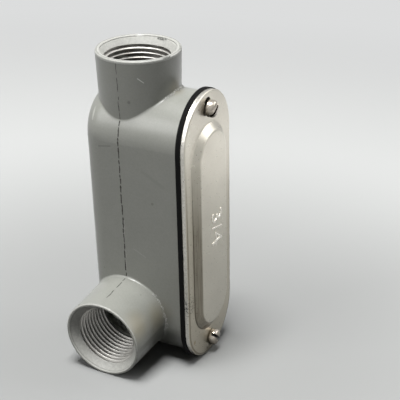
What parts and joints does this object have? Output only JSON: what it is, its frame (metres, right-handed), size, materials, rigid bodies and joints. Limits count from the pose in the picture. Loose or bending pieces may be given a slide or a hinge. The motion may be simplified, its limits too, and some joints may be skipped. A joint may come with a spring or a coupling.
{
  "type": "conduit body",
  "caption": "Right-outlet L conduit body: cast housing with a threaded hub on its end and one on its side, rubber gasket, pressed sheet cover and slotted cover screws.",
  "frame": {"origin": "centre of the footprint, at the height of the lowest edge, which is the gasket's lower end", "axes": "+Z along the end hub out of its mouth, the cover faces -Y, the side hub points to -X"},
  "size_m": [0.0562, 0.048, 0.1243],
  "materials": {
    "grey_painted_casting": "satin",
    "black_rubber": "matte",
    "satin_sheet": "satin",
    "plated_steel": "polished"
  },
  "bodies": {
    "root": {"housing": "grey_painted_casting", "gasket": "black_rubber", "cover": "satin_sheet", "upper_cover_screw": "plated_steel", "lower_cover_screw": "plated_steel"}
  },
  "joints": []
}
